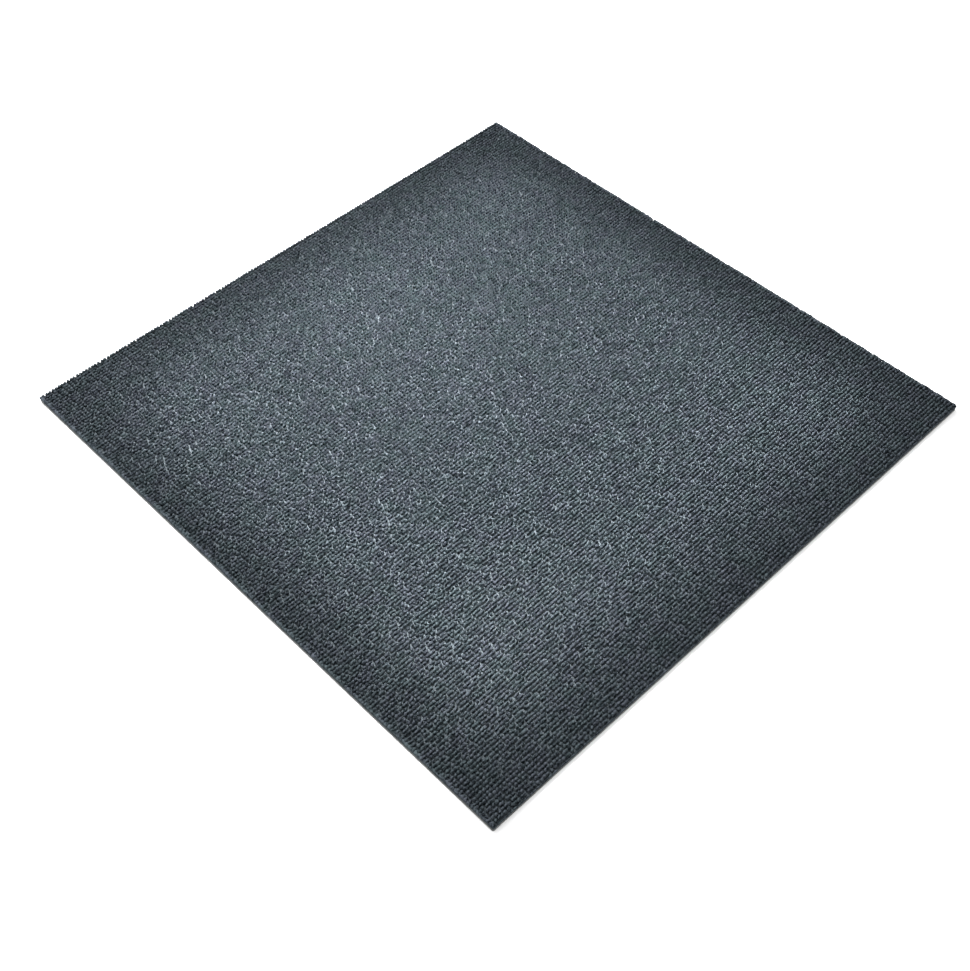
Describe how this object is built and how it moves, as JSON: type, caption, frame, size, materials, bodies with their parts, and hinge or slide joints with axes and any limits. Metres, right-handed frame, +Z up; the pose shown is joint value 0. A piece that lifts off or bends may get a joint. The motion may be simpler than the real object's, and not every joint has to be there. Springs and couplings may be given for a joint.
{
  "type": "carpet tile",
  "caption": "Square carpet tile with a level loop pile in straight rows, tufted through a thin cloth onto a heavy bitumen backing.",
  "frame": {"origin": "centre of the underside, which lies on the floor", "axes": "+Z up through the pile, +X along the rows of loops, +Y across the rows"},
  "size_m": [0.5, 0.5, 0.006],
  "materials": {
    "loop_yarn": "matt solution-dyed yarn",
    "primary_cloth": "matt cloth",
    "bitumen": "matt"
  },
  "bodies": {
    "root": {"loop_pile": "loop_yarn", "primary_cloth": "primary_cloth", "bitumen_backing": "bitumen"}
  },
  "joints": []
}
